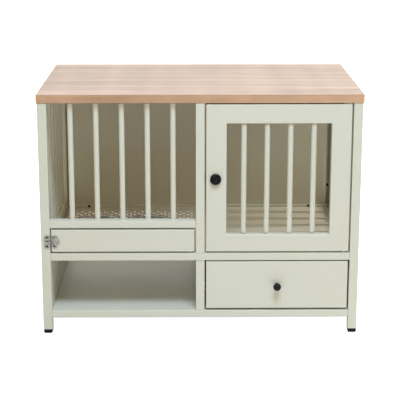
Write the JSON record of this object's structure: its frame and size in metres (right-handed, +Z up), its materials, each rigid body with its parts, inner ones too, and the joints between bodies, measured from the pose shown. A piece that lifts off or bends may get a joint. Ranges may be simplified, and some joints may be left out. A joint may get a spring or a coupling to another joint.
{
  "type": "dog crate end table",
  "caption": "Steel dog crate with a wooden table top, a barred door over a drawer, a barred bay over a swing-out bowl feeder, and an open shelf.",
  "frame": {"origin": "on the floor, under the middle of the whole object with the drawer knob included", "axes": "+X to the right and +Y to the back, seen from the door side, and +Z up"},
  "size_m": [0.95, 0.6262, 0.73],
  "materials": {
    "table_wood": "satin melamine with a fine straight grain",
    "cream_paint": "satin powder coat",
    "black_satin": "satin black",
    "black_rubber": "matt",
    "zinc_plate": "bright zinc plate",
    "bowl_steel": "polished stainless steel"
  },
  "bodies": {
    "frame": {"top_board": "table_wood", "front_left_post": "cream_paint", "front_right_post": "cream_paint", "rear_left_post": "cream_paint", "rear_right_post": "cream_paint", "upper_mid_post": "cream_paint", "lower_mid_post": "cream_paint", "rear_lower_mid_post": "cream_paint", "front_bar_rail": "cream_paint", "front_mid_rail": "cream_paint", "front_bottom_rail": "cream_paint", "front_top_strip": "cream_paint", "front_bar_1": "cream_paint", "front_bar_2": "cream_paint", "front_bar_3": "cream_paint", "front_bar_4": "cream_paint", "front_bar_5": "cream_paint", "left_side_grille": "cream_paint", "right_side_grille": "cream_paint", "left_mid_rail": "cream_paint", "right_mid_rail": "cream_paint", "left_bottom_rail": "cream_paint", "right_bottom_rail": "cream_paint", "left_lower_panel": "cream_paint", "right_lower_panel": "cream_paint", "rear_top_rail": "cream_paint", "rear_mid_rail": "cream_paint", "rear_bottom_rail": "cream_paint", "rear_upper_panel": "cream_paint", "rear_lower_panel": "cream_paint", "left_floor_pan": "cream_paint", "right_floor_pan": "cream_paint", "lower_shelf": "cream_paint", "lower_divider": "cream_paint", "front_left_glide": "black_rubber", "front_right_glide": "black_rubber", "rear_left_glide": "black_rubber", "rear_right_glide": "black_rubber", "left_drawer_runner": "zinc_plate", "right_drawer_runner": "zinc_plate", "latch_keeper": "zinc_plate", "door_strike": "black_satin"},
    "door": {"door_panel": "cream_paint", "door_bar_1": "cream_paint", "door_bar_2": "cream_paint", "door_bar_3": "cream_paint", "door_bar_4": "cream_paint", "door_pin_top": "zinc_plate", "door_pin_bottom": "zinc_plate"},
    "door_lock": {"door_knob": "black_satin", "door_cam": "black_satin"},
    "drawer": {"drawer_front": "cream_paint", "drawer_box": "cream_paint", "drawer_knob": "black_satin"},
    "feeder": {"feeder_panel": "cream_paint", "bowl_rack": "cream_paint", "latch_base": "zinc_plate"},
    "latch": {"latch_lever": "zinc_plate"},
    "left_bowl": {"bowl_left": "bowl_steel"},
    "right_bowl": {"bowl_right": "bowl_steel"}
  },
  "joints": [
    {"name": "door_hinge", "type": "hinge", "parent": "frame", "child": "door", "pos_m": [0.4283, -0.27485, 0.479], "axis": [0, 0, 1], "range_deg": [0, 110]},
    {"name": "door_lock_turn", "type": "hinge", "parent": "door", "child": "door_lock", "pos_m": [0.045, -0.28485, 0.479], "axis": [0, 1, 0], "range_deg": [0, 90]},
    {"name": "drawer_slide", "type": "slide", "parent": "frame", "child": "drawer", "axis": [0, -1, 0], "range_m": [0, 0.38]},
    {"name": "feeder_hinge", "type": "hinge", "parent": "frame", "child": "feeder", "pos_m": [-0.0305, -0.27485, 0.291], "axis": [0, 0, 1], "range_deg": [0, 90]},
    {"name": "latch_turn", "type": "hinge", "parent": "feeder", "child": "latch", "pos_m": [-0.433, -0.28885, 0.289], "axis": [0, -1, 0], "range_deg": [0, 50]},
    {"name": "left_bowl_lift", "type": "slide", "parent": "feeder", "child": "left_bowl", "axis": [0, 0, 1], "range_m": [0, 0.06]},
    {"name": "right_bowl_lift", "type": "slide", "parent": "feeder", "child": "right_bowl", "axis": [0, 0, 1], "range_m": [0, 0.06]}
  ]
}
